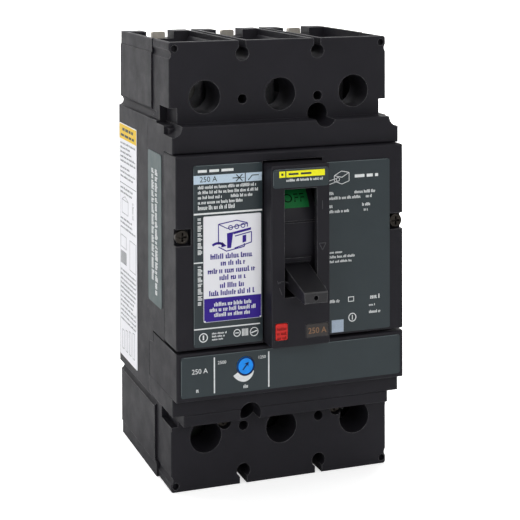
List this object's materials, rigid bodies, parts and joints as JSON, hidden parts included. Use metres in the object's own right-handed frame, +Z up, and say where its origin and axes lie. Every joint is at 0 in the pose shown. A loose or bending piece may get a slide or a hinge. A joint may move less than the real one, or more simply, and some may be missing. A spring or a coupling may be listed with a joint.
{
  "type": "molded case circuit breaker",
  "caption": "Three-pole molded case circuit breaker with a toggle handle, trip button, adjustable trip unit and box lugs at both ends.",
  "frame": {"origin": "centre of the rear mounting face", "axes": "+Z up the breaker towards the line terminals, +X to the right seen from the front, front faces -Y"},
  "size_m": [0.1053, 0.1033, 0.191],
  "materials": {
    "molded_case": "fine moulded texture",
    "molded_cover": "fine moulded texture",
    "blackened_steel": "blackened",
    "rating_plastic": "glossy",
    "slate_label": "satin printed film",
    "white_sticker": "satin printed film",
    "grey_label": "satin printed film",
    "thermoset": "moulded",
    "steel": "zinc plated",
    "spring_steel": "drawn wire",
    "bimetal": "rolled",
    "green_flag": "satin",
    "red_plastic": "satin",
    "blue_plastic": "satin",
    "plated_copper": "tin plated",
    "copper": "bare copper with silver tips",
    "lug_aluminium": "tin-plated extrusion"
  },
  "bodies": {
    "case": {"rear_housing": "molded_case", "front_housing": "molded_case", "accessory_cover": "molded_cover", "trip_unit_housing": "molded_case", "load_terminal_cover": "molded_case", "accessory_cover_screws": "blackened_steel", "load_cover_screws": "blackened_steel", "front_housing_screws": "blackened_steel", "rating_insert": "rating_plastic", "front_label_left": "slate_label", "front_label_right": "slate_label", "accessory_sticker": "white_sticker", "nose_label": "slate_label", "trip_label": "slate_label", "side_label": "grey_label", "side_sticker": "white_sticker", "arc_chute_plates": "steel", "bimetals": "bimetal", "magnet_yokes": "steel", "mechanism_pins": "steel", "mechanism_side_plates": "steel", "cradle": "steel", "line_terminal_left": "plated_copper", "load_conductor_left": "plated_copper", "line_lug_left": "lug_aluminium", "load_lug_left": "lug_aluminium", "pole_cartridge_left": "thermoset", "line_terminal_centre": "plated_copper", "load_conductor_centre": "plated_copper", "line_lug_centre": "lug_aluminium", "load_lug_centre": "lug_aluminium", "pole_cartridge_centre": "thermoset", "line_terminal_right": "plated_copper", "load_conductor_right": "plated_copper", "line_lug_right": "lug_aluminium", "load_lug_right": "lug_aluminium", "pole_cartridge_right": "thermoset"},
    "toggle": {"toggle_handle": "molded_cover", "handle_shutter": "molded_cover", "position_flag": "green_flag", "handle_yoke": "steel", "main_springs": "spring_steel"},
    "contact_shaft": {"contact_rotors": "thermoset", "contact_shaft": "steel", "contact_arm_left": "copper", "contact_arm_centre": "copper", "contact_arm_right": "copper"},
    "trip_button": {"trip_button": "red_plastic", "trip_button_spring": "spring_steel"},
    "trip_bar": {"trip_bar": "thermoset"},
    "adjust_dial": {"adjust_dial": "blue_plastic"},
    "armature_left": {"armature_left": "steel"},
    "line_lug_screw_left": {"line_lug_screw_left": "steel"},
    "load_lug_screw_left": {"load_lug_screw_left": "steel"},
    "armature_centre": {"armature_centre": "steel"},
    "line_lug_screw_centre": {"line_lug_screw_centre": "steel"},
    "load_lug_screw_centre": {"load_lug_screw_centre": "steel"},
    "armature_right": {"armature_right": "steel"},
    "line_lug_screw_right": {"line_lug_screw_right": "steel"},
    "load_lug_screw_right": {"load_lug_screw_right": "steel"}
  },
  "joints": [
    {"name": "toggle_swing", "type": "hinge", "parent": "case", "child": "toggle", "pos_m": [0, -0.049, 0.011], "axis": [-1, 0, 0], "range_deg": [-3, 36]},
    {"name": "contact_turn", "type": "hinge", "parent": "case", "child": "contact_shaft", "pos_m": [0, -0.022, 0.007], "axis": [-1, 0, 0], "range_deg": [-3, 36]},
    {"name": "trip_button_press", "type": "slide", "parent": "case", "child": "trip_button", "axis": [0, 1, 0], "range_m": [0, 0.0025], "deforming": ["trip_button_spring"]},
    {"name": "trip_bar_turn", "type": "hinge", "parent": "case", "child": "trip_bar", "pos_m": [0, -0.054, -0.04], "axis": [-1, 0, 0], "range_deg": [0, 10.3]},
    {"name": "adjust_dial_turn", "type": "hinge", "parent": "case", "child": "adjust_dial", "pos_m": [-0.0219, -0.076, -0.04], "axis": [0, 1, 0], "range_deg": [0, 270]},
    {"name": "armature_tilt_left", "type": "hinge", "parent": "case", "child": "armature_left", "pos_m": [-0.035, -0.0464, -0.0485], "axis": [-1, 0, 0], "range_deg": [0, 6]},
    {"name": "armature_tilt_centre", "type": "hinge", "parent": "case", "child": "armature_centre", "pos_m": [0, -0.0464, -0.0485], "axis": [-1, 0, 0], "range_deg": [0, 6]},
    {"name": "armature_tilt_right", "type": "hinge", "parent": "case", "child": "armature_right", "pos_m": [0.035, -0.0464, -0.0485], "axis": [-1, 0, 0], "range_deg": [0, 6]},
    {"name": "line_lug_screw_drive_left", "type": "slide", "parent": "case", "child": "line_lug_screw_left", "axis": [0, 1, 0], "range_m": [0, 0.008]},
    {"name": "line_lug_screw_drive_centre", "type": "slide", "parent": "case", "child": "line_lug_screw_centre", "axis": [0, 1, 0], "range_m": [0, 0.008]},
    {"name": "line_lug_screw_drive_right", "type": "slide", "parent": "case", "child": "line_lug_screw_right", "axis": [0, 1, 0], "range_m": [0, 0.008]},
    {"name": "load_lug_screw_drive_left", "type": "slide", "parent": "case", "child": "load_lug_screw_left", "axis": [0, 1, 0], "range_m": [0, 0.008]},
    {"name": "load_lug_screw_drive_centre", "type": "slide", "parent": "case", "child": "load_lug_screw_centre", "axis": [0, 1, 0], "range_m": [0, 0.008]},
    {"name": "load_lug_screw_drive_right", "type": "slide", "parent": "case", "child": "load_lug_screw_right", "axis": [0, 1, 0], "range_m": [0, 0.008]}
  ],
  "couplings": [
    {"joint": "contact_turn", "follows": "toggle_swing", "ratio": 1},
    {"joint": "trip_bar_turn", "follows": "trip_button_press", "rad_per_m": 71.4}
  ]
}
